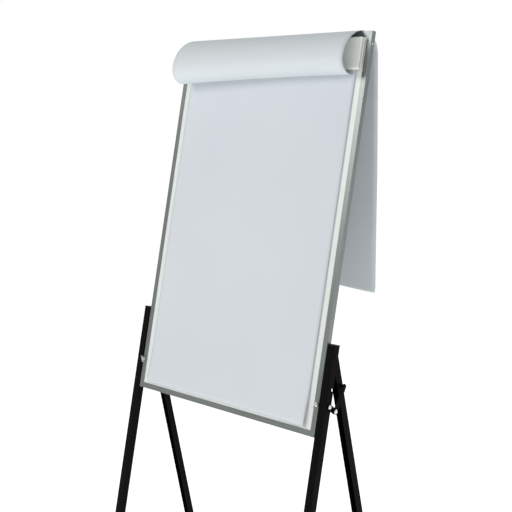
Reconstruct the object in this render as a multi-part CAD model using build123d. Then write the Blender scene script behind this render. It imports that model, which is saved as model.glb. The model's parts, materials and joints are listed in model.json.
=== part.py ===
# Flipchart easel: a leaning aluminium-framed whiteboard with a paper clamp, on two folding A-frames.
# +X is the viewer's right, -Y is the front that is written on, +Z is up. All sizes are in millimetres.
# Most pieces are laid out in the board's own plane: x across, y up the board from its bottom edge, and
# z out of its front face. BOARD then leans them back and lifts them to their place.
from build123d import *

import os
from math import atan, atan2, cos, degrees, hypot, radians, sin

# ---- driving dimensions ----
board_width = 600.0
board_height = 900.0
board_lift = 800.0  # height of the board's bottom front edge above the floor
board_lean = 12.0  # degrees back from upright; the front legs lean with it
rear_lean = 13.0  # degrees of the open rear legs, the other way

rail_face = 13.0  # width of the frame seen from the front
rail_depth = 12.0
rail_wall = 1.2
rail_box = 7.0  # width of the rail's closed chamber; the panel slot takes the rest
sheet_steel = 1.0  # the painted writing sheet
core_thickness = 3.0
back_thickness = 1.0
slot_clearance = 0.1  # on each side of the panel and at its edges

key_arm = 34.0
key_clearance = 0.1
screw_radius = 1.4
screw_head_radius = 2.7
screw_head_height = 1.3
screw_length = 4.4
screw_inset = 28.0  # from the board's corner to each corner screw

pad_gap_side = 17.0  # between the pad and each side rail
pad_gap_top = 3.0  # between the pad and the top rail
pad_gap_bottom = 5.0
pad_backing = 0.8
pad_thickness = 1.9  # the sheets that are still to be used
binding_height = 34.0
binding_thickness = 0.15
turned_thickness = 0.8  # the sheets that are turned over the top, as one bundle
roll_drop = 3.0  # below the clamp before the turned sheets bend forwards
lip_radius = 8.0
crown_radius = 70.0  # of the roll in front of the board, up to its crown
crown_gap = 2.6  # from the board's top edge to the sheets at the crown
crown_z = -15.0
back_radius = 52.0

stud_spacing = 280.0
stud_radius = 3.0
stud_clearance = 0.6
stud_head_radius = 8.0
stud_head_height = 2.0
stud_end = 27.0  # how far a stud reaches in front of the frame's face

clamp_height = 72.0
clamp_wall = 3.0
clamp_gap = 4.6  # inside the folded bar
clamp_end_gap = 3.0  # between the bar's end and the side rail
washer_radius = 7.0
washer_thickness = 1.2
knob_radius = 13.0
knob_height = 12.0
knob_lobes = 6
knob_scallop = 4.0
knob_edge = 1.5

leg_gap = 2.0  # between a leg and the board's side, where the brackets lie
leg_width = 20.0
leg_depth = 17.5
leg_wall = 1.2
leg_proud = 1.5  # the leg's front face stands this far in front of the frame
leg_top = 208.0  # the cap's top, measured up the board from its bottom edge
nest_clearance = 0.3  # round the rear leg when it lies in the front leg
cap_thickness = 3.0
cap_plug = 10.0
cap_overhang = 0.4
cap_edge = 1.2
foot_sleeve = 32.0
foot_wall = 2.0
foot_sole = 4.0
foot_clearance = 0.05

pivot_drop = 26.0  # from the leg's top to the rear leg's pivot
pivot_depth = 9.0  # behind the front leg's face
pivot_radius = 3.0
pin_clearance = 0.05
head_height = 1.6
head_radius = 5.0

brace_drop = 110.0  # from the pivot down the front leg to the brace's first pin
brace_depth = 2.5  # behind the pivot's line
brace_rear_drop = 72.0  # from the pivot down the rear leg to the brace's pin there
brace_rear_depth = 5.0
brace_angle = -40.0  # of the short link, from level, when open
short_link = 18.0
link_width = 13.0
link_thickness = 2.2
slot_travel = 3.1  # how far the rear pin slides in the long link's slot
slot_side = 0.15  # clearance on each side of the pin in the slot
pin_radius = 2.0
pin_head_radius = 5.0
pin_head_height = 2.1
spacer_radius = 3.2
rivet_flange = 1.0
notch_clearance = 0.5
layer_gap = 0.1  # between a link and what it lies on

lower_bolt = 72.0  # brackets' bolts, up the board
upper_bolt = 140.0
bracket_height = 34.0
bracket_reach = 24.0  # from the leg inwards, behind the rail
bracket_thickness = 2.0
bolt_radius = 2.0
bolt_clearance = 0.2
bolt_head_radius = 4.0
bolt_head_height = 2.8
bolt_end = 9.0  # how far the bolt reaches in front of the frame's face
tapping_radius = 1.6
tapping_length = 8.0
tapping_head_radius = 3.4
tapping_head_height = 1.8
nut_radius = 5.0
nut_height = 5.0
wing_span = 17.0
wing_height = 9.5
wing_thickness = 1.8
wing_root = 2.4  # the wings start this far in front of the frame, clear of the leg
wing_angle = 60.0

# ---- what follows from them ----
lean = radians(board_lean)
opening = board_lean + rear_lean
slot_depth = sheet_steel + core_thickness + back_thickness + 2 * slot_clearance
face_z = -rail_wall - slot_clearance  # the writing surface
panel_back = face_z - sheet_steel - core_thickness - back_thickness
pad_width = board_width - 2 * (rail_face + pad_gap_side)
pad_top = board_height - rail_face - pad_gap_top
pad_length = pad_top - rail_face - pad_gap_bottom
pad_front = face_z + pad_backing + pad_thickness
clamp_thickness = 2 * clamp_wall + clamp_gap
clamp_back = pad_front + binding_thickness + turned_thickness
clamp_front = clamp_back + clamp_thickness
clamp_bottom = pad_top - clamp_height
stud_y = clamp_bottom + clamp_height / 2
stud_xs = (-stud_spacing / 2, stud_spacing / 2)
bolt_x = board_width / 2 - rail_box / 2  # the middle of the side rail's chamber

leg_inner = board_width / 2 + leg_gap
leg_outer = leg_inner + leg_width
leg_mid = leg_inner + leg_width / 2
leg_back = leg_proud - leg_depth
rear_width = leg_width - 2 * leg_wall - 2 * nest_clearance
rear_outer = leg_mid + rear_width / 2
rear_inner = leg_mid - rear_width / 2
rear_front = leg_proud - leg_wall - nest_clearance
rear_back = rear_front - leg_depth
pivot_y = leg_top - pivot_drop
pivot_z = leg_proud - pivot_depth

# the links lie outside the leg in two layers, with the front pin's head between them
short_layer = leg_outer + layer_gap
front_head = short_layer + link_thickness + layer_gap
long_layer = front_head + pin_head_height + layer_gap
outer_head = long_layer + link_thickness + layer_gap
folded_rear_pin = (pivot_y - brace_rear_drop, pivot_z - brace_rear_depth)

BOARD = Plane(origin=(0, 0, board_lift), x_dir=(1, 0, 0), z_dir=(0, -cos(lean), sin(lean)))
MIDDLE = Plane(origin=(0, board_height / 2, 0), z_dir=(0, 1, 0))


def block(x0, x1, y0, y1, z0, z1):
    return Pos((x0 + x1) / 2, (y0 + y1) / 2, (z0 + z1) / 2) * Box(x1 - x0, y1 - y0, z1 - z0)


def rod_z(x, y, z0, z1, radius):
    return Pos(x, y, (z0 + z1) / 2) * Cylinder(radius, z1 - z0)


def rod_x(x0, x1, place, radius):
    """A rod along X; its place is (y, z)."""
    return Pos((x0 + x1) / 2, *place) * Rot(0, 90, 0) * Cylinder(radius, abs(x1 - x0))


def dome_x(x, place, radius, height, out=1):
    """A low round head on a face at x, standing out of it towards +X, or towards -X if out is -1."""
    outline = Line((0, 0), (0, height))
    outline += ThreePointArc((0, height), (radius * 0.75, height * 0.62), (radius, 0))
    outline += Line((radius, 0), (0, 0))
    head = revolve(Plane.XZ * make_face(outline), Axis.Z)
    return Pos(x, *place) * Rot(0, 90 * out, 0) * head


def swing(place):
    """Where a (y, z) place of the folded rear leg stands when the leg is open."""
    turn = radians(opening)
    y, z = place[0] - pivot_y, place[1] - pivot_z
    return pivot_y + y * cos(turn) - z * sin(turn), pivot_z + y * sin(turn) + z * cos(turn)


def open_rear(shape):
    return shape.rotate(Axis((0, pivot_y, pivot_z), (1, 0, 0)), opening)


def placed(shape):
    """From the board's own plane to where it stands on the floor."""
    return BOARD.location * shape


def above_floor(shape):
    size = 4 * board_lift
    return placed(shape) - Pos(0, 0, -size / 2) * Box(size, size, size)


def floor_y(z, height=0.0):
    """How far along the board's plane the given height above the floor lies, at depth z."""
    return (height - board_lift - z * sin(lean)) / cos(lean)


# ---- the board's frame ----
def rail(length):
    """A mitred rail along X: its outer face is on y = 0, its front on z = 0, its inside towards +Y."""
    back_lip = -2 * rail_wall - slot_depth
    bar = block(-length / 2, length / 2, 0, rail_face, -rail_depth, 0)
    bar -= block(-length, length, rail_wall, rail_box - rail_wall, -rail_depth + rail_wall, -rail_wall)
    bar -= block(-length, length, rail_box, 2 * rail_face, -rail_wall - slot_depth, -rail_wall)
    bar -= block(-length, length, rail_box, 2 * rail_face, -2 * rail_depth, back_lip)
    half = length / 2
    inner = half - rail_face
    mitred = Polygon((-half, 0), (half, 0), (inner, rail_face), (-inner, rail_face), align=None)
    bar &= Pos(0, 0, -2 * rail_depth) * extrude(mitred, amount=3 * rail_depth)
    hole = Rot(90, 0, 0) * Cylinder(screw_radius + pin_clearance, 3 * rail_wall)
    for x in (screw_inset - half, half - screw_inset):
        bar -= Pos(x, 0, -rail_depth / 2) * hole
    return bar


def side_rail():
    """The right one, with the holes for the bolt and the screw that hold it to the leg."""
    bar = Pos(board_width / 2, board_height / 2, 0) * Rot(0, 0, 90) * rail(board_height)
    bar -= rod_z(bolt_x, lower_bolt, -2 * rail_depth, rail_depth, bolt_radius + bolt_clearance)
    return bar - rod_z(bolt_x, upper_bolt, -2 * rail_depth, -rail_depth / 2, tapping_radius)


def corner_screws(clearance=0.0):
    """The two screws of the bottom right corner; with a clearance, the room that they take."""
    middle = -rail_depth / 2
    across = Pos(board_width / 2 - screw_inset, 0, middle) * Rot(90, 0, 0)
    up = Pos(board_width / 2, screw_inset, middle) * Rot(0, 90, 0)
    shaft = Pos(0, 0, -screw_length / 2) * Cylinder(screw_radius + clearance, screw_length)
    head = Pos(0, 0, screw_head_height / 2) * Cylinder(screw_head_radius, screw_head_height)
    return [place * (shaft + head) for place in (across, up)]


def corner_key():
    """The L inside the bottom right corner of the frame."""
    outer = rail_wall + key_clearance
    inner = rail_box - rail_wall - key_clearance
    low, high = outer - rail_depth, -outer
    x = board_width / 2
    key = block(x - outer - key_arm, x - outer, outer, inner, low, high)
    key += block(x - inner, x - outer, outer, outer + key_arm, low, high)
    for screw in corner_screws(pin_clearance):
        key -= screw
    return [key]


def at_corners(shapes):
    lower = shapes + [mirror(shape, Plane.YZ) for shape in shapes]
    return Compound(lower + [mirror(shape, MIDDLE) for shape in lower])


# ---- the panel, and the studs that stand in it ----
def stud_holes(radius):
    return Compound([rod_z(x, stud_y, -board_width, board_width, radius) for x in stud_xs])


def panel_layer(front, thickness):
    margin = rail_box + slot_clearance
    edge = board_width / 2 - margin
    layer = block(-edge, edge, margin, board_height - margin, front - thickness, front)
    return layer - stud_holes(stud_radius + pin_clearance)


def clamp_studs():
    behind = panel_back - stud_head_height
    return Compound([
        rod_z(x, stud_y, behind, stud_end, stud_radius)
        + rod_z(x, stud_y, behind, panel_back, stud_head_radius)
        for x in stud_xs
    ])


# ---- paper ----
def paper_block(height, front, thickness):
    sheet = block(-pad_width / 2, pad_width / 2, pad_top - height, pad_top, front - thickness, front)
    return sheet - stud_holes(stud_radius + stud_clearance)


def turned_sheets():
    """One bundle that leaves the clamp, rolls forwards and over the top rail, and hangs down behind.
    Its path is drawn with the board's z across and the board's y up."""
    flat = clamp_back - turned_thickness / 2
    start_y = clamp_bottom - roll_drop
    crown = (crown_z, board_height + crown_gap + turned_thickness / 2)
    nose = (crown_z + crown_radius, crown[1] - crown_radius)
    lip_turn = 2 * atan((nose[1] - start_y) / (nose[0] - flat - 2 * lip_radius))
    lip = (flat + lip_radius * (1 - cos(lip_turn)), start_y - lip_radius * sin(lip_turn))
    fall = (crown_z - back_radius * cos(lean), crown[1] - back_radius * (1 - sin(lean)))
    path = Line((flat, pad_top), (flat, start_y))
    path += TangentArc((flat, start_y), lip, tangent=(0, -1))
    path += TangentArc(lip, nose, tangent=(sin(lip_turn), -cos(lip_turn)))
    path += TangentArc(nose, crown, tangent=(0, 1))
    path += TangentArc(crown, fall, tangent=(-1, 0))
    hang = pad_length - sum(edge.length for edge in path.edges())
    path += Line(fall, (fall[0] - hang * sin(lean), fall[1] - hang * cos(lean)))
    stroke = trace(path, line_width=turned_thickness)
    upright = Plane(origin=(pad_width / 2, 0, 0), x_dir=(0, 0, 1), z_dir=(-1, 0, 0))
    bundle = extrude(upright * stroke, amount=pad_width)
    holes = [rod_z(x, stud_y, 0, clamp_back + clamp_wall, stud_radius + stud_clearance) for x in stud_xs]
    return bundle - Compound(holes)


# ---- the clamp ----
def clamp_bar():
    """A strip folded in half, round at the bottom and open at the top."""
    end = board_width / 2 - rail_face - clamp_end_gap
    fold = (clamp_bottom + clamp_thickness / 2, (clamp_back + clamp_front) / 2)
    bar = block(-end, end, fold[0], pad_top, clamp_back, clamp_front)
    bar += rod_x(-end, end, fold, clamp_thickness / 2)
    bar -= block(-end, end, fold[0], 2 * board_height, clamp_back + clamp_wall, clamp_front - clamp_wall)
    bar -= rod_x(-end, end, fold, clamp_gap / 2)
    return bar - stud_holes(stud_radius + stud_clearance)


def clamp_washers():
    top = clamp_front + washer_thickness
    return Compound([
        rod_z(x, stud_y, clamp_front, top, washer_radius)
        - rod_z(x, stud_y, 0, 2 * top, stud_radius + pin_clearance)
        for x in stud_xs
    ])


def clamp_knob(x):
    base = clamp_front + washer_thickness
    knob = Cylinder(knob_radius, knob_height)
    scallop = Pos(knob_radius + knob_scallop / 2, 0, 0) * Cylinder(knob_scallop, 2 * knob_height)
    for i in range(knob_lobes):
        knob -= Rot(0, 0, i * 360 / knob_lobes) * scallop
    knob = fillet(knob.edges().group_by(Axis.Z)[-1], knob_edge)
    knob -= Cylinder(stud_radius + pin_clearance, 2 * knob_height)
    return Pos(x, stud_y, base + knob_height / 2) * knob


# ---- the legs ----
def channel(x0, x1, y0, y1, front, back, open_front):
    """A U section up the leg, open at its back or its front."""
    tube = block(x0, x1, y0, y1, back, front)
    low, high = (back + leg_wall, 2 * leg_depth) if open_front else (-3 * leg_depth, front - leg_wall)
    return tube - block(x0 + leg_wall, x1 - leg_wall, y0 - leg_depth, y1 + leg_depth, low, high)


def front_leg():
    y0 = floor_y(leg_back, foot_sole)
    y1 = leg_top - cap_thickness
    leg = channel(leg_inner, leg_outer, y0, y1, leg_proud, leg_back, open_front=False)
    pivot = (pivot_y, pivot_z)
    leg -= rod_x(leg_inner - 1, leg_outer + 1, pivot, pivot_radius)
    leg -= rod_x(leg_mid, leg_outer + 1, front_pin, pin_radius)
    # the folded rear leg's pin comes into the outer wall from behind
    y, z = folded_rear_pin
    room = spacer_radius + notch_clearance
    leg -= rod_x(leg_mid, leg_outer + 1, folded_rear_pin, room)
    return leg - block(leg_mid, leg_outer + 1, y - room, y + room, leg_back - 1, z)


def leg_cap():
    over = cap_overhang
    low = leg_top - cap_thickness
    lid = block(leg_inner - over, leg_outer + over, low, leg_top, leg_back - over, leg_proud + over)
    lid = fillet(lid.edges().group_by(Axis.Y)[-1], cap_edge)
    gap = leg_wall + foot_clearance
    plug = block(leg_inner + gap, leg_outer - gap, low - cap_plug, low, leg_back, leg_proud - gap)
    return lid + plug


def front_foot():
    """A boot round the three walls of the front leg, open at the back for the rear leg to fold in."""
    steel_end = floor_y(leg_back, foot_sole)
    low = floor_y(leg_back) - 2 * foot_sole
    x0, x1 = leg_inner - foot_wall, leg_outer + foot_wall
    boot = block(x0, x1, low, steel_end + foot_sleeve, leg_back, leg_proud + foot_wall)
    boot -= block(leg_inner, leg_outer, steel_end, 0, leg_back - 1, leg_proud)
    inside = leg_inner + leg_wall, leg_outer - leg_wall
    boot -= block(*inside, 2 * low, 0, leg_back - 1, leg_proud - leg_wall)
    return above_floor(boot)


def rear_end():
    """Where the rear leg's steel ends, along the folded leg."""
    pivot_height = board_lift + pivot_y * cos(lean) + pivot_z * sin(lean)
    front_edge = (rear_front - pivot_z) * sin(radians(rear_lean))
    return pivot_y - (pivot_height - foot_sole - front_edge) / cos(radians(rear_lean))


def rear_leg():
    centre = (pivot_y, (rear_front + rear_back) / 2)
    leg = block(rear_inner, rear_outer, rear_end(), pivot_y, rear_back, rear_front)
    leg += rod_x(rear_inner, rear_outer, centre, leg_depth / 2)
    low, high = rear_back + leg_wall, rear_front + leg_depth
    leg -= block(rear_inner + leg_wall, rear_outer - leg_wall, 2 * rear_end(), 2 * leg_top, low, high)
    leg -= rod_x(rear_inner - 1, rear_outer + 1, (pivot_y, pivot_z), pivot_radius + pin_clearance)
    leg -= rod_x(leg_mid, rear_outer + 1, folded_rear_pin, pin_radius)
    return open_rear(leg)


def rear_foot():
    """A plug in the end of the rear leg, no wider than the leg itself."""
    end = rear_end()
    gap = leg_wall + foot_clearance
    low = end - 3 * foot_sole
    foot = block(rear_inner + gap, rear_outer - gap, end, end + foot_sleeve, rear_back + gap, rear_front)
    foot += block(rear_inner, rear_outer, low, end, rear_back, rear_front)
    return above_floor(open_rear(foot))


def leg_pivot():
    """The rivet that the rear leg turns on, with a head on each side of the front leg."""
    place = (pivot_y, pivot_z)
    rivet = rod_x(leg_inner, leg_outer, place, pivot_radius)
    rivet += dome_x(leg_outer, place, head_radius, head_height)
    return rivet + dome_x(leg_inner, place, head_radius, head_height, out=-1)


# ---- the brace that holds a rear leg open ----
def brace_knee():
    """Where the two links meet when the leg is open."""
    turn = lean + radians(brace_angle)
    return front_pin[0] + short_link * sin(turn), front_pin[1] - short_link * cos(turn)


front_pin = (pivot_y - brace_drop, pivot_z - brace_depth)
knee = brace_knee()
rear_pin = swing(folded_rear_pin)


def bar_between(x0, a, b, width):
    """A flat bar with round ends, one link thick, from one (y, z) place to another."""
    length = hypot(b[0] - a[0], b[1] - a[1])
    angle = degrees(atan2(b[1] - a[1], b[0] - a[0]))
    middle = ((a[0] + b[0]) / 2, (a[1] + b[1]) / 2)
    x1 = x0 + link_thickness
    bar = Pos((x0 + x1) / 2, *middle) * Rot(angle, 0, 0) * Box(link_thickness, length, width)
    return bar + rod_x(x0, x1, a, width / 2) + rod_x(x0, x1, b, width / 2)


def short_brace_link():
    link = bar_between(short_layer, front_pin, knee, link_width)
    link -= rod_x(leg_outer, long_layer, front_pin, pin_radius + pin_clearance)
    return link - rod_x(leg_outer, long_layer, knee, pin_radius)


def long_brace_link():
    """Its outer end has a slot: the rear pin comes a little nearer to the knee while the leg folds."""
    length = hypot(rear_pin[0] - knee[0], rear_pin[1] - knee[1])
    share = slot_travel / length
    inner = tuple(r + (k - r) * share for r, k in zip(rear_pin, knee))
    link = bar_between(long_layer, knee, rear_pin, link_width)
    link -= rod_x(leg_outer, 2 * leg_outer, knee, pin_radius + pin_clearance)
    slot = bar_between(long_layer, inner, rear_pin, 2 * (pin_radius + slot_side))
    return link - slot


def brace_front_pin():
    pin = rod_x(leg_outer - leg_wall, front_head, front_pin, pin_radius)
    return pin + dome_x(front_head, front_pin, pin_head_radius, pin_head_height)


def knee_pin():
    pin = rod_x(short_layer, outer_head, knee, pin_radius)
    pin += rod_x(short_layer + link_thickness, long_layer - layer_gap, knee, spacer_radius)
    return pin + dome_x(outer_head, knee, pin_head_radius, pin_head_height)


def brace_rear_pin():
    inside = rear_outer - leg_wall
    pin = rod_x(inside - rivet_flange, outer_head, rear_pin, pin_radius)
    pin += rod_x(inside - rivet_flange, inside, rear_pin, spacer_radius)
    pin += rod_x(rear_outer, long_layer - layer_gap, rear_pin, spacer_radius)
    return pin + dome_x(outer_head, rear_pin, pin_head_radius, pin_head_height)


# ---- what holds the board to the legs ----
def bracket(y, hole):
    """A welded angle: one flange between the leg and the board's side, the other behind the rail."""
    low, high = y - bracket_height / 2, y + bracket_height / 2
    back = -rail_depth - bracket_thickness
    plate = block(leg_inner - bracket_reach, leg_inner, low, high, back, -rail_depth)
    plate += block(board_width / 2, leg_inner, low, high, back, -bracket_thickness)
    return plate - rod_z(bolt_x, y, 2 * back, 0, hole)


def board_bolt():
    behind = -rail_depth - bracket_thickness
    head = Pos(bolt_x, lower_bolt, behind - bolt_head_height)
    head *= extrude(RegularPolygon(bolt_head_radius, 6), amount=bolt_head_height)
    return head + rod_z(bolt_x, lower_bolt, behind, bolt_end, bolt_radius)


def board_screw():
    behind = -rail_depth - bracket_thickness
    shaft = rod_z(bolt_x, upper_bolt, behind, behind + tapping_length, tapping_radius)
    return shaft + rod_z(bolt_x, upper_bolt, behind - tapping_head_height, behind, tapping_head_radius)


def wing_nut():
    """On the front of the frame, with its two wings clear of the leg beside it."""
    hub = Pos(0, 0, nut_height / 2) * Cylinder(nut_radius, nut_height)
    span, thickness = wing_span / 2, wing_thickness / 2
    wings = block(-span, span, -thickness, thickness, wing_root, wing_height)
    wings = fillet(wings.edges().filter_by(Axis.Y), wing_thickness)
    wings -= Pos(0, 0, wing_height) * Cylinder(nut_radius * 0.7, 2 * (wing_height - nut_height))
    nut = hub + wings - Cylinder(bolt_radius + pin_clearance, 4 * wing_height)
    return Pos(bolt_x, lower_bolt, 0) * Rot(0, 0, wing_angle) * nut


def both(shape):
    return Compound([shape, mirror(shape, Plane.YZ)])


# ---- every piece, by name, standing on the floor ----
pieces = {
    "frame_rail_bottom": placed(rail(board_width)),
    "frame_rail_top": placed(Pos(0, board_height, 0) * Rot(0, 0, 180) * rail(board_width)),
    "corner_keys": placed(at_corners(corner_key())),
    "corner_screws": placed(at_corners(corner_screws())),
    "writing_sheet": placed(panel_layer(face_z, sheet_steel)),
    "board_core": placed(panel_layer(face_z - sheet_steel, core_thickness)),
    "back_sheet": placed(panel_layer(face_z - sheet_steel - core_thickness, back_thickness)),
    "clamp_studs": placed(clamp_studs()),
    "clamp_bar": placed(clamp_bar()),
    "clamp_washers": placed(clamp_washers()),
    "pad_backing": placed(paper_block(pad_length, face_z + pad_backing, pad_backing)),
    "pad_sheets": placed(paper_block(pad_length, pad_front, pad_thickness)),
    "pad_binding": placed(
        paper_block(binding_height, pad_front + binding_thickness, binding_thickness)
    ),
    "turned_sheets": placed(turned_sheets()),
    "board_bolts": placed(both(board_bolt())),
    "board_screws": placed(both(board_screw())),
}
right_side = {
    "frame_rail": placed(side_rail()),
    "clamp_knob": placed(clamp_knob(stud_spacing / 2)),
    "front_leg": placed(front_leg()),
    "leg_cap": placed(leg_cap()),
    "front_foot": front_foot(),
    "rear_leg": placed(rear_leg()),
    "rear_foot": rear_foot(),
    "leg_pivot": placed(leg_pivot()),
    "short_brace_link": placed(short_brace_link()),
    "long_brace_link": placed(long_brace_link()),
    "brace_front_pin": placed(brace_front_pin()),
    "knee_pin": placed(knee_pin()),
    "brace_rear_pin": placed(brace_rear_pin()),
    "lower_bracket": placed(bracket(lower_bolt, bolt_radius + bolt_clearance)),
    "upper_bracket": placed(bracket(upper_bolt, tapping_radius)),
    "wing_nut": placed(wing_nut()),
}
for name, shape in right_side.items():
    pieces[name + "_right"] = shape
    pieces[name + "_left"] = mirror(shape, Plane.YZ)

# the origin goes on the floor under the middle of the whole easel
extent = Compound(list(pieces.values())).bounding_box()
shift = Pos(0, -(extent.min.Y + extent.max.Y) / 2, 0)

os.makedirs("parts", exist_ok=True)
for name, shape in pieces.items():
    export_step(shift * shape, f"parts/{name}.step")
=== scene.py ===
import json
from math import atan, atan2, cos, pi, radians, sin

import bpy
from mathutils import Matrix, Vector


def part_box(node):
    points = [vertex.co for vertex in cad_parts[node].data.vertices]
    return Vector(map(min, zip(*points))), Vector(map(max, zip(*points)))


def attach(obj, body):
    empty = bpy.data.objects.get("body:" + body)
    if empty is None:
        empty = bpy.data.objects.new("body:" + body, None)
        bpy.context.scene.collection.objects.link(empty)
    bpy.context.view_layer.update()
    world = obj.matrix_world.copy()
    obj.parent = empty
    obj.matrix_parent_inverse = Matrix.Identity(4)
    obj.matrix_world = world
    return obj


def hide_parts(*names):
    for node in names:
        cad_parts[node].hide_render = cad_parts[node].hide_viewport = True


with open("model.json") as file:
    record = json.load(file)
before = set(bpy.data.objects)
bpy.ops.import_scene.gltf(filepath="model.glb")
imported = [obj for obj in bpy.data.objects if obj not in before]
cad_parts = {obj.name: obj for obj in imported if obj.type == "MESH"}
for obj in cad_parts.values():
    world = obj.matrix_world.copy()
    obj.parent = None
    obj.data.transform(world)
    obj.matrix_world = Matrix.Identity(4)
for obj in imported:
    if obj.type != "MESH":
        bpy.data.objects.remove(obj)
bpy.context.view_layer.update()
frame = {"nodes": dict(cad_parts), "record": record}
nodes = frame["nodes"]
joints = {joint["name"]: joint for joint in frame["record"]["behaviour"]["joints"]}
mm = 0.001
print("frame loaded:", len(nodes), "nodes")

# the board's own plane, read from the clamp's slide and the side rail's box
slideAxis = Vector(joints["clamp_slide"]["axis"])
lean = atan2(slideAxis.z, -slideAxis.y)
railLow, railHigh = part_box("frame_rail_right")
across = Vector((1, 0, 0))
upBoard = Vector((0, sin(lean), cos(lean)))
outOfBoard = Vector((0, -cos(lean), sin(lean)))
boxY, boxZ = railHigh[1] - railLow[1], railHigh[2] - railLow[2]
narrow = cos(lean) ** 2 - sin(lean) ** 2
boardHeight = (boxZ * cos(lean) - boxY * sin(lean)) / narrow
railDepth = (boxY * cos(lean) - boxZ * sin(lean)) / narrow
boardOrigin = Vector((0, railLow[1], railLow[2] + railDepth * sin(lean)))
boardWidth = 2 * railHigh[0]


def onBoard(x, up, out):
    return boardOrigin + across * x + upBoard * up + outOfBoard * out


def slab(node):
    # lowest and highest place up the board, then out of it, of a flat block that lies in its plane
    low, high = [Vector(corner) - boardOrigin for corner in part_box(node)]
    c, s = cos(lean), sin(lean)
    corners = Matrix(((0, c, 0, s), (0, s, -c, 0), (c, 0, s, 0), (s, 0, 0, -c)))
    return corners.inverted() @ Vector((high.z, high.y, low.z, low.y))


# ---- camera, floor and light ----
view = {
    "lens": 79.1,
    "place": (1.905, -1.791, 0.751),  # from the middle of the board's bottom front edge
    "turn": radians(50.25),
    "dip": radians(7.2),
    "roll": radians(-0.9),
    "shift": (0.207, -0.04),
}
camera = bpy.data.objects.new("camera", bpy.data.cameras.new("camera"))
bpy.context.collection.objects.link(camera)
bpy.context.scene.camera = camera
camera.data.lens = view["lens"]
camera.data.sensor_width = 36
camera.data.shift_x, camera.data.shift_y = view["shift"]
camera.data.clip_end = 60
sight = Matrix.Rotation(view["turn"], 3, "Z") @ Matrix.Rotation(pi / 2 - view["dip"], 3, "X")
sight @= Matrix.Rotation(view["roll"], 3, "Z")
camera.matrix_world = Matrix.Translation(boardOrigin + Vector(view["place"])) @ sight.to_4x4()

studio = {"background": 1.0, "sky": 0.5, "floorSize": 80.0, "floorGlow": 0.62}
lamps = [
    # name, place, size, power, colour
    ("keyLight", (-2.0, -3.4, 3.4), 1.8, 54, (1.0, 0.985, 0.96)),
    ("fillLight", (3.8, -1.6, 2.4), 2.4, 20, (0.94, 0.97, 1.0)),
    ("rimLight", (1.0, 3.2, 3.0), 2.0, 40, (1.0, 1.0, 1.0)),
]
target = Vector((0, 0, 1.1))
for name, place, size, power, colour in lamps:
    lamp = bpy.data.lights.new(name, "AREA")
    lamp.size, lamp.energy, lamp.color = size, power, colour
    holder = bpy.data.objects.new(name, lamp)
    holder.location = place
    holder.rotation_euler = (target - Vector(place)).to_track_quat("-Z", "Y").to_euler()
    bpy.context.collection.objects.link(holder)
world = bpy.data.worlds.new("studio")
bpy.context.scene.world = world
world.use_nodes = True
sky = world.node_tree.nodes["Background"]
sky.inputs["Color"].default_value = (1, 1, 1, 1)
# a white backdrop, and a softer light from it
paths = world.node_tree.nodes.new("ShaderNodeLightPath")
strength = world.node_tree.nodes.new("ShaderNodeMix")
strength.inputs["A"].default_value = studio["sky"]
strength.inputs["B"].default_value = studio["background"]
world.node_tree.links.new(paths.outputs["Is Camera Ray"], strength.inputs["Factor"])
world.node_tree.links.new(strength.outputs["Result"], sky.inputs["Strength"])
bpy.context.scene.view_settings.view_transform = "Standard"


# ---- materials ----
class Value:
    # a node's output; an expression on numbers adds its Math nodes
    def __init__(self, shader, socket):
        self.shader, self.socket = shader, socket

    def maths(self, operation, first, second):
        return self.shader.node("Math", {"operation": operation}, {0: first, 1: second})

    def __add__(self, other):
        return self.maths("ADD", self, other)

    def __sub__(self, other):
        return self.maths("SUBTRACT", self, other)

    def __rsub__(self, other):
        return self.maths("SUBTRACT", other, self)

    def __mul__(self, other):
        return self.maths("MULTIPLY", self, other)

    def __gt__(self, other):
        return self.maths("GREATER_THAN", self, other)

    __radd__ = __add__
    __rmul__ = __mul__


class Shader:
    def __init__(self, name, **fixed):
        self.material = bpy.data.materials.new(name)
        self.material.use_nodes = True
        self.tree = self.material.node_tree
        self.surface = self.tree.nodes["Principled BSDF"]
        for socket, value in fixed.items():
            self.surface.inputs[socket.replace("_", " ")].default_value = value
        self.place = self.node("TexCoord", out="Object")

    def node(self, kind, settings=None, values=None, out=0):
        made = self.tree.nodes.new("ShaderNode" + kind)
        for key, value in (settings or {}).items():
            setattr(made, key, value)
        for key, value in (values or {}).items():
            self.feed(made.inputs[key], value)
        return Value(self, made.outputs[out])

    def feed(self, socket, value):
        if isinstance(value, Value):
            self.tree.links.new(value.socket, socket)
        else:
            socket.default_value = value

    def stretched(self, turn=0.0, scale=(1, 1, 1)):
        # turned about X first, then stretched along the turned axes
        turned = self.node("Mapping", None, {"Vector": self.place, "Rotation": (turn, 0, 0)})
        return self.node("Mapping", None, {"Vector": turned, "Scale": scale})

    def noise(self, scale, detail=3.0, where=None, rough=0.5):
        values = {"Vector": where or self.place, "Scale": scale, "Detail": detail, "Roughness": rough}
        return self.node("TexNoise", None, values)

    def between(self, factor, low, high):
        return self.node("Mix", {"data_type": "RGBA"}, {0: factor, 6: (*low, 1), 7: (*high, 1)}, 2)

    def finish(self, colour=None, roughness=None, height=None, depth=0.0001, strength=0.3, metallic=None):
        for name, value in (("Base Color", colour), ("Roughness", roughness), ("Metallic", metallic)):
            if value is not None:
                self.feed(self.surface.inputs[name], value)
        if height is not None:
            bump = self.node("Bump", None, {"Height": height, "Distance": depth, "Strength": strength})
            self.feed(self.surface.inputs["Normal"], bump)
        return self.material


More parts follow.
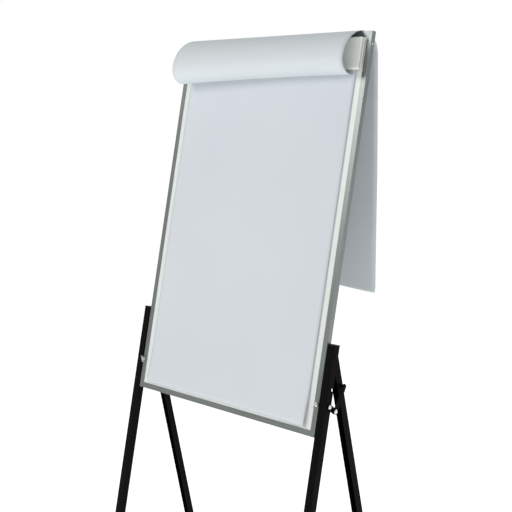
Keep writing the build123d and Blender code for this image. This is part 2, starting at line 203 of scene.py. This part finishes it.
def anodised(name, scale):
    # extrusion lines run along the rail, under a satin anodised coat
    coat = Shader(name, Metallic=1.0)
    lines = coat.noise(1.0, 2.0, coat.stretched(lean, scale))
    cloud = coat.noise(9.0, 3.0)
    colour = coat.between(lines * 0.6 + cloud * 0.4, (0.17, 0.19, 0.185), (0.30, 0.325, 0.32))
    return coat.finish(colour, lines * 0.12 + cloud * 0.08 + 0.24, lines, 0.00004, 0.35)


def powderCoat(name, low, high, base, gloss, peel=650.0):
    # fine orange peel, with slightly polished and dusty patches
    coat = Shader(name, Specular_IOR_Level=gloss)
    skin = coat.noise(peel, 2.0)
    patches = coat.noise(14.0, 4.0)
    scuffs = coat.noise(1.0, 2.0, coat.stretched(0.6, (900, 60, 60))) > 0.71
    colour = coat.between(patches * 0.7 + scuffs * 0.3, low, high)
    return coat.finish(colour, patches * 0.16 + scuffs * 0.1 + base, skin, 0.00009, 0.4)


def plated():
    # bright zinc with a faint blue and yellow cast
    zinc = Shader("zincPlate", Metallic=1.0)
    cast = zinc.noise(120.0, 3.0)
    marks = zinc.noise(700.0, 2.0)
    colour = zinc.between(cast, (0.66, 0.68, 0.72), (0.80, 0.79, 0.73))
    return zinc.finish(colour, marks * 0.2 + 0.2, marks, 0.00003, 0.3)


def moulded(name, low, high, base, grain):
    skin = Shader(name, Specular_IOR_Level=0.2)
    pits = skin.noise(grain, 3.0)
    dust = skin.noise(30.0, 4.0)
    return skin.finish(skin.between(dust, low, high), dust * 0.14 + base, pits, 0.0001, 0.5)


def paperStock(name, low, high, fibre=420.0):
    # fine fibres and a very slight cockle
    stock = Shader(name, Roughness=0.8, IOR=1.4, Specular_IOR_Level=0.25)
    fibres = stock.noise(fibre, 5.0)
    cloud = stock.noise(3.0, 2.0)
    height = fibres * 0.15 + stock.noise(7.0, 2.0)
    colour = stock.between(fibres * 0.35 + cloud * 0.65, low, high)
    return stock.finish(colour, fibres * 0.1 + 0.72, height, 0.0012, 0.25)


def enamel(name, low, high, base):
    glaze = Shader(name, Coat_Weight=0.12, Coat_Roughness=0.3, Specular_IOR_Level=0.3)
    wiped = glaze.noise(1.0, 3.0, glaze.stretched(lean, (14, 30, 30)))
    return glaze.finish(glaze.between(wiped, low, high), wiped * 0.12 + base, wiped, 0.00005, 0.2)


finishes = {
    "railAcross": anodised("railAcross", (4, 900, 900)),
    "railUp": anodised("railUp", (900, 900, 4)),
    "blackCoat": powderCoat("blackCoat", (0.0012, 0.0012, 0.0014), (0.004, 0.004, 0.0045), 0.4, 0.045),
    "clampCoat": powderCoat("clampCoat", (0.86, 0.88, 0.82), (0.92, 0.93, 0.88), 0.36, 0.5),
    "zinc": plated(),
    "blackPlastic": moulded("blackPlastic", (0.004, 0.004, 0.0045), (0.010, 0.010, 0.011), 0.38, 1500.0),
    "rubber": moulded("rubber", (0.012, 0.012, 0.012), (0.05, 0.048, 0.045), 0.62, 900.0),
    "paper": paperStock("paper", (0.59, 0.625, 0.68), (0.70, 0.745, 0.765)),
    "turnedPaper": paperStock("turnedPaper", (0.63, 0.675, 0.70), (0.69, 0.735, 0.755)),
    "card": paperStock("card", (0.33, 0.32, 0.30), (0.45, 0.43, 0.40), 250.0),
    "binding": paperStock("binding", (0.50, 0.56, 0.62), (0.56, 0.62, 0.68)),
    "whiteEnamel": enamel("whiteEnamel", (0.73, 0.765, 0.745), (0.80, 0.83, 0.81), 0.3),
    "backPrimer": enamel("backPrimer", (0.42, 0.43, 0.43), (0.52, 0.53, 0.53), 0.36),
    "fibreboard": paperStock("fibreboard", (0.23, 0.15, 0.09), (0.36, 0.25, 0.16), 300.0),
    "floor": paperStock("floor", (0.80, 0.80, 0.80), (0.84, 0.84, 0.84), 40.0),
}
glow = finishes["floor"].node_tree.nodes["Principled BSDF"]
glow.inputs["Emission Color"].default_value = (1, 1, 1, 1)
glow.inputs["Emission Strength"].default_value = studio["floorGlow"]
print("materials made:", len(finishes))

# node name without its side: finish, edge radius in mm
cadFinish = {
    "frame_rail_bottom": ("railAcross", 0.35),
    "frame_rail_top": ("railAcross", 0.35),
    "frame_rail": ("railUp", 0.35),
    "corner_keys": ("zinc", 0),
    "writing_sheet": ("whiteEnamel", 0),
    "board_core": ("fibreboard", 0),
    "back_sheet": ("backPrimer", 0),
    "clamp_studs": ("zinc", 0.3),
    "clamp_bar": ("clampCoat", 0.3),
    "clamp_washers": ("zinc", 0.2),
    "clamp_knob": ("blackPlastic", 0.4),
    "pad_backing": ("card", 0),
    "pad_binding": ("binding", 0),
    "front_leg": ("blackCoat", 0.45),
    "leg_cap": ("blackPlastic", 0.5),
    "front_foot": ("rubber", 0.6),
    "rear_leg": ("blackCoat", 0.45),
    "rear_foot": ("rubber", 0.6),
    "leg_pivot": ("blackCoat", 0),
    "short_brace_link": ("blackCoat", 0.4),
    "long_brace_link": ("blackCoat", 0.4),
    "brace_front_pin": ("zinc", 0),
    "knee_pin": ("zinc", 0),
    "brace_rear_pin": ("blackCoat", 0),
    "lower_bracket": ("blackCoat", 0.4),
    "upper_bracket": ("blackCoat", 0.4),
    "board_bolts": ("zinc", 0.25),
    "board_screws": ("zinc", 0.25),
    "wing_nut": ("zinc", 0.35),
}


edges = {"weld": 0.01 * mm, "segments": 2, "sharper": radians(40)}


def softenEdges(piece, radius):
    weld = piece.modifiers.new("weld", "WELD")
    weld.merge_threshold = edges["weld"]
    if radius:
        bevel = piece.modifiers.new("edges", "BEVEL")
        bevel.width = radius * mm
        bevel.segments = edges["segments"]
        bevel.limit_method = "ANGLE"
        bevel.angle_limit = edges["sharper"]
        bevel.harden_normals = True


def dress(piece, material):
    piece.data.materials.clear()
    piece.data.materials.append(material)


for name, node in nodes.items():
    plain = name.replace("_left", "").replace("_right", "") if name not in cadFinish else name
    if plain in cadFinish:
        finish, radius = cadFinish[plain]
        dress(node, finishes[finish])
        softenEdges(node, radius)
print("frame dressed")

floor = bpy.data.meshes.new("floor")
half = studio["floorSize"] / 2
corners = [(-half, -half, 0), (half, -half, 0), (half, half, 0), (-half, half, 0)]
floor.from_pydata(corners, [], [(0, 1, 2, 3)])
floorPiece = bpy.data.objects.new("floor", floor)
bpy.context.collection.objects.link(floorPiece)
dress(floorPiece, finishes["floor"])


# ---- paper ----
def link(name, mesh, material):
    piece = bpy.data.objects.new(name, mesh)
    bpy.context.collection.objects.link(piece)
    dress(piece, material)
    return piece


def sheetPiece(name, columns, rows, place, thickness, material):
    # a grid of points, place(u, v) with u across and v along the sheet from 0 to 1
    mesh = bpy.data.meshes.new(name)
    points = [place(i / columns, j / rows) for j in range(rows + 1) for i in range(columns + 1)]
    step = columns + 1
    faces = [
        (j * step + i, j * step + i + 1, (j + 1) * step + i + 1, (j + 1) * step + i)
        for j in range(rows)
        for i in range(columns)
    ]
    mesh.from_pydata(points, [], faces)
    mesh.shade_smooth()
    piece = link(name, mesh, material)
    wall = piece.modifiers.new("thickness", "SOLIDIFY")
    wall.thickness = thickness
    wall.offset = 0
    return piece


padEnd, padTop, padBack, padFront = slab("pad_sheets")
padLength = padTop - padEnd
pad = {
    "width": 2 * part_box("pad_sheets")[1][0],
    "pages": 12,
    "page": 0.13 * mm,
    "stray": 0.5 * mm,  # how far a page may lie out of the stack
    "cornerLift": 5.0 * mm,
    "cornerShare": (0.55, 1.0),  # how much of the lift the left and the right corner get
    "cornerReach": 0.12,
    "ripple": 0.35 * mm,
    "trim": 1 * mm,  # how much shorter the pages under the top one are
    "clearance": 0.1 * mm,
    "seed": 4,
}


def smooth(value):
    value = min(1.0, max(0.0, value))
    return value * value * (3 - 2 * value)


sheetThickness = 0.1 * mm


def topSheetPoint(u, v):
    # flat on the pad, with both bottom corners lifting a little
    x = (u - 0.5) * pad["width"]
    lift = 0.0
    for side, amount in enumerate(pad["cornerShare"]):
        away = ((u - side) * pad["width"]) ** 2 + ((1 - v) * padLength) ** 2
        lift += amount * pad["cornerLift"] * smooth(1 - away**0.5 / pad["cornerReach"]) ** 1.5
    wave = pad["ripple"] * smooth((v - 0.15) * 2) * (1 + sin(u * 9 + v * 5))
    return onBoard(x, padTop - v * padLength, padFront + pad["clearance"] + wave + lift)


topSheet = sheetPiece("topSheet", 54, 86, topSheetPoint, sheetThickness, finishes["paper"])

turned = {
    "sheets": 4,
    "gap": 0.22 * mm,  # between sheets at the clamp
    "looseness": 1.3 * mm,  # more between them round the roll
    "nose": (55 * mm, 71 * mm),  # how far the roll stands out, at its right and left end
    "noseDrop": (70 * mm, 84 * mm),  # from the crown down to the nose
    "clampHeight": 72 * mm,
    "lipDrop": 3 * mm,  # below the clamp before the sheets bend forwards
    "lip": 8 * mm,
    "crownOut": -15 * mm,
    "crownGap": 3.2 * mm,
    "backRadius": (52 * mm, 56 * mm),
    "bundle": 0.8 * mm,  # all the sheets together at the clamp
    "swell": 1.4,  # how quickly the roll grows towards its left end
    "wave": 3.5 * mm,
    "waveStart": 0.35,  # of a metre down the hanging part before the wave is whole
    "skew": 2 * mm,
}
clampLow = padTop - turned["clampHeight"]
bundleOut = slab("pad_binding")[3] + turned["bundle"]


def rollPath(sheet, u):
    # runs of (length, curvature) from the clamp to the free edge, and where they start
    away = turned["sheets"] - 1 - sheet
    start = bundleOut - turned["gap"] * (sheet + 0.5)
    toLeft = 1 - u
    grown = toLeft ** turned["swell"]
    nose = turned["nose"][0] + (turned["nose"][1] - turned["nose"][0]) * grown
    nose -= turned["looseness"] * away
    drop = turned["noseDrop"][0] + (turned["noseDrop"][1] - turned["noseDrop"][0]) * grown
    crownUp = boardHeight + turned["crownGap"] - turned["gap"] * away
    noseUp = crownUp - drop
    lipUp = clampLow - turned["lipDrop"]
    lip = turned["lip"] - turned["gap"] * sheet
    turn = 2 * atan((noseUp - lipUp) / (nose - start - 2 * lip))
    belly = (nose - start - lip * (1 - cos(turn))) / (1 + cos(turn))
    wide = nose - turned["crownOut"]
    back = turned["backRadius"][0] + (turned["backRadius"][1] - turned["backRadius"][0]) * toLeft
    back -= turned["looseness"] * 0.7 * away
    return start, lipUp, lip, turn, belly, wide, drop, back, crownUp


def turnedPoint(sheet, u, v):
    start, lipUp, lip, turn, belly, wide, drop, back, crownUp = rollPath(sheet, u)
    along = v * padLength
    x = (u - 0.5) * pad["width"]
    runs = [padTop - lipUp, lip * turn, belly * (pi - turn), 0.5 * pi * (wide + drop) / 2]
    runs.append(back * (pi / 2 - lean))
    if along <= runs[0]:
        return onBoard(x, padTop - along, start)
    along -= runs[0]
    if along <= runs[1]:
        angle = along / lip
        return onBoard(x, lipUp - lip * sin(angle), start + lip * (1 - cos(angle)))
    along -= runs[1]
    noseOut = turned["crownOut"] + wide
    noseUp = crownUp - drop
    if along <= runs[2]:
        angle = pi + turn + along / belly
        return onBoard(x, noseUp + belly * sin(angle), noseOut - belly + belly * cos(angle))
    along -= runs[2]
    if along <= runs[3]:
        angle = 0.5 * pi * along / runs[3]
        return onBoard(x, noseUp + drop * sin(angle), noseOut - wide + wide * cos(angle))
    along -= runs[3]
    if along <= runs[4]:
        angle = pi / 2 + along / back
        return onBoard(x, crownUp - back + back * sin(angle), turned["crownOut"] + back * cos(angle))
    along -= runs[4]
    fall = onBoard(x, crownUp - back + back * sin(lean), turned["crownOut"] - back * cos(lean))
    free = smooth(along / turned["waveStart"])
    wave = turned["wave"] * free * sin(u * 7.5 + along * 5 + 0.6) + turned["skew"] * free**2 * u
    return fall + Vector((0, wave, -along))


turnedSheets = []
for sheet in range(turned["sheets"]):
    place = lambda u, v, sheet=sheet: turnedPoint(sheet, u, v)
    name = f"turnedSheet{sheet + 1}"
    turnedSheets.append(sheetPiece(name, 40, 150, place, sheetThickness, finishes["turnedPaper"]))
print("sheets made:", 1 + len(turnedSheets))


# ---- what repeats, by Geometry Nodes ----
class Tree:
    # a node group for one modifier, with named inputs
    def __init__(self, name):
        self.group = bpy.data.node_groups.new(name, "GeometryNodeTree")
        self.group.interface.new_socket("Geometry", in_out="OUTPUT", socket_type="NodeSocketGeometry")
        self.group.interface.new_socket("Points", in_out="INPUT", socket_type="NodeSocketGeometry")
        self.inputs = self.group.nodes.new("NodeGroupInput")
        self.values = {}

    def value(self, name, kind, setting):
        socket = self.group.interface.new_socket(name, in_out="INPUT", socket_type="NodeSocket" + kind)
        self.values[socket.identifier] = setting
        return self.inputs.outputs[name]

    def node(self, kind, settings=None, values=None, out=0):
        made = self.group.nodes.new(kind)
        for key, value in (settings or {}).items():
            setattr(made, key, value)
        for key, value in (values or {}).items():
            if isinstance(value, bpy.types.NodeSocket):
                self.group.links.new(value, made.inputs[key])
            else:
                made.inputs[key].default_value = value
        return made.outputs[out]

    def join(self, *parts):
        made = self.group.nodes.new("GeometryNodeJoinGeometry")
        for part in parts:
            self.group.links.new(part, made.inputs[0])
        return made.outputs[0]

    def bake(self, name, geometry, material, points=None):
        whole = self.node("GeometryNodeRealizeInstances", None, {0: geometry})
        painted = self.node("GeometryNodeSetMaterial", None, {"Geometry": whole, "Material": material})
        end = self.group.nodes.new("NodeGroupOutput")
        self.group.links.new(painted, end.inputs[0])
        maker = bpy.data.objects.new(name + "Maker", points or bpy.data.meshes.new(name + "Maker"))
        bpy.context.collection.objects.link(maker)
        modifier = maker.modifiers.new(name, "NODES")
        modifier.node_group = self.group
        for identifier, setting in self.values.items():
            modifier[identifier] = setting
        seen = bpy.context.evaluated_depsgraph_get()
        seen.update()
        mesh = bpy.data.meshes.new_from_object(maker.evaluated_get(seen))
        mesh.name = name
        bpy.data.objects.remove(maker)
        return link(name, mesh, material)


def padStack():
    tree = Tree("padStack")
    pages = tree.value("Pages", "Int", pad["pages"])
    width = tree.value("Width", "Float", pad["width"])
    length = tree.value("Length", "Float", padLength - pad["trim"])
    page = tree.value("Page", "Float", pad["page"])
    seed = tree.value("Seed", "Int", pad["seed"])
    size = tree.node("ShaderNodeCombineXYZ", None, {"X": width, "Y": length, "Z": page})
    leaf = tree.node("GeometryNodeMeshCube", None, {"Size": size})
    pitch = (padFront - padBack) / pad["pages"]
    settings = {"Count": pages, "Start Location": (0, 0, 0), "Offset": (0, 0, pitch)}
    line = tree.node("GeometryNodeMeshLine", None, settings)
    stray = pad["stray"]
    spread = {0: (-stray, -stray, 0), 1: (stray, stray, 0), "Seed": seed}
    shift = tree.node("FunctionNodeRandomValue", {"data_type": "FLOAT_VECTOR"}, spread)
    moved = tree.node("GeometryNodeSetPosition", None, {"Geometry": line, "Offset": shift})
    stack = tree.node("GeometryNodeInstanceOnPoints", None, {"Points": moved, "Instance": leaf})
    centre = onBoard(0, padTop - padLength / 2, padBack + pitch / 2)
    turn = (pi / 2 - lean, 0, 0)
    placed = {"Geometry": stack, "Translation": centre, "Rotation": turn}
    return tree.bake("padStack", tree.node("GeometryNodeTransform", None, placed), finishes["paper"])


padPages = padStack()
print("pad pages stacked")

screw = {
    "head": 2.7 * mm,
    "crown": 1.944 * mm,  # radius of the head's flat top
    "headHeight": 1.3 * mm,
    "shaft": 1.4 * mm,
    "length": 4.4 * mm,
    "recess": (3.4 * mm, 0.75 * mm, 1.6 * mm),
    "inset": 28 * mm,
}


def pointsFacing(name, spots):
    # vertices that each carry the turn that lays +Z along their own direction
    mesh = bpy.data.meshes.new(name)
    mesh.from_pydata([place for place, facing in spots], [], [])
    turns = mesh.attributes.new("facing", "FLOAT_VECTOR", "POINT")
    for entry, (place, facing) in zip(turns.data, spots):
        entry.vector = Vector(facing).to_track_quat("Z", "Y").to_euler()
    return mesh


def screwSpots():
    spots = []
    for side in (-1, 1):
        for up, facing in ((0, -1), (boardHeight, 1)):
            x = side * (boardWidth / 2 - screw["inset"])
            spots.append((onBoard(x, up, -railDepth / 2), upBoard * facing))
            inside = up - facing * screw["inset"]
            spots.append((onBoard(side * boardWidth / 2, inside, -railDepth / 2), across * side))
    return spots


def crossScrews():
    tree = Tree("crossScrews")
    radius = tree.value("Head radius", "Float", screw["head"])
    height = tree.value("Head height", "Float", screw["headHeight"])
    shaft = tree.value("Shaft radius", "Float", screw["shaft"])
    length = tree.value("Length", "Float", screw["length"])
    rim = {"Vertices": 32, "Radius Bottom": radius, "Radius Top": screw["crown"], "Depth": height}
    head = tree.node("GeometryNodeMeshCone", None, rim)
    slots = []
    for turn in (0, pi / 2):
        bar = tree.node("GeometryNodeMeshCube", None, {"Size": screw["recess"]})
        lift = {"Geometry": bar, "Translation": (0, 0, screw["headHeight"]), "Rotation": (0, 0, turn)}
        slots.append(tree.node("GeometryNodeTransform", None, lift))
    for bar in slots:
        cut = {"Mesh 1": head, "Mesh 2": bar}
        head = tree.node("GeometryNodeMeshBoolean", {"operation": "DIFFERENCE"}, cut)
    stem = tree.node("GeometryNodeMeshCylinder", None, {"Vertices": 24, "Radius": shaft, "Depth": length})
    sunk = {"Geometry": stem, "Translation": (0, 0, -screw["length"] / 2)}
    stem = tree.node("GeometryNodeTransform", None, sunk)
    whole = tree.join(head, stem)
    facing = tree.node("GeometryNodeInputNamedAttribute", {"data_type": "FLOAT_VECTOR"}, {"Name": "facing"})
    turn = tree.node("FunctionNodeEulerToRotation", None, {0: facing})
    spread = {"Points": tree.inputs.outputs["Points"], "Instance": whole, "Rotation": turn}
    placed = tree.node("GeometryNodeInstanceOnPoints", None, spread)
    return tree.bake("crossScrews", placed, finishes["zinc"], pointsFacing("screwSpots", screwSpots()))


thread = {"pitch": 0.7 * mm, "ridge": 0.14 * mm, "start": 5.1 * mm, "length": 3.7 * mm, "rod": 2 * mm}


def threads(name, spots):
    # a helical ridge round each rod, from its own place along its own direction
    tree = Tree(name)
    pitch = tree.value("Pitch", "Float", thread["pitch"])
    ridge = tree.value("Ridge", "Float", thread["ridge"])
    rod = tree.value("Radius", "Float", thread["rod"])
    long = tree.value("Length", "Float", thread["length"])
    turns = tree.node("ShaderNodeMath", {"operation": "DIVIDE"}, {0: long, 1: pitch})
    coil = {"Resolution": 20, "Rotations": turns, "Start Radius": rod, "End Radius": rod, "Height": long}
    helix = tree.node("GeometryNodeCurveSpiral", None, coil)
    profile = tree.node("GeometryNodeCurvePrimitiveCircle", None, {"Resolution": 4, "Radius": ridge})
    swept = {"Curve": helix, "Profile Curve": profile, "Fill Caps": True}
    wire = tree.node("GeometryNodeCurveToMesh", None, swept)
    facing = tree.node("GeometryNodeInputNamedAttribute", {"data_type": "FLOAT_VECTOR"}, {"Name": "facing"})
    turn = tree.node("FunctionNodeEulerToRotation", None, {0: facing})
    spread = {"Points": tree.inputs.outputs["Points"], "Instance": wire, "Rotation": turn}
    placed = tree.node("GeometryNodeInstanceOnPoints", None, spread)
    return tree.bake(name, placed, finishes["zinc"], pointsFacing(name + "Spots", spots))


nutPlaces = [Vector(joints[f"wing_nut_turn_{side}"]["pos_m"]) for side in ("left", "right")]
screws = crossScrews()
tips = [(place + outOfBoard * thread["start"], outOfBoard) for place in nutPlaces]
boltThreads = threads("boltThreads", tips)
print("screws and threads made")

# ---- what rides on what ----
for piece in [topSheet, padPages] + turnedSheets:
    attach(piece, "easel")
for piece in (screws, boltThreads):
    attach(piece, "easel")
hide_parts("corner_screws")
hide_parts("pad_sheets")
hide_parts("turned_sheets")
print("pieces joined to their bodies")
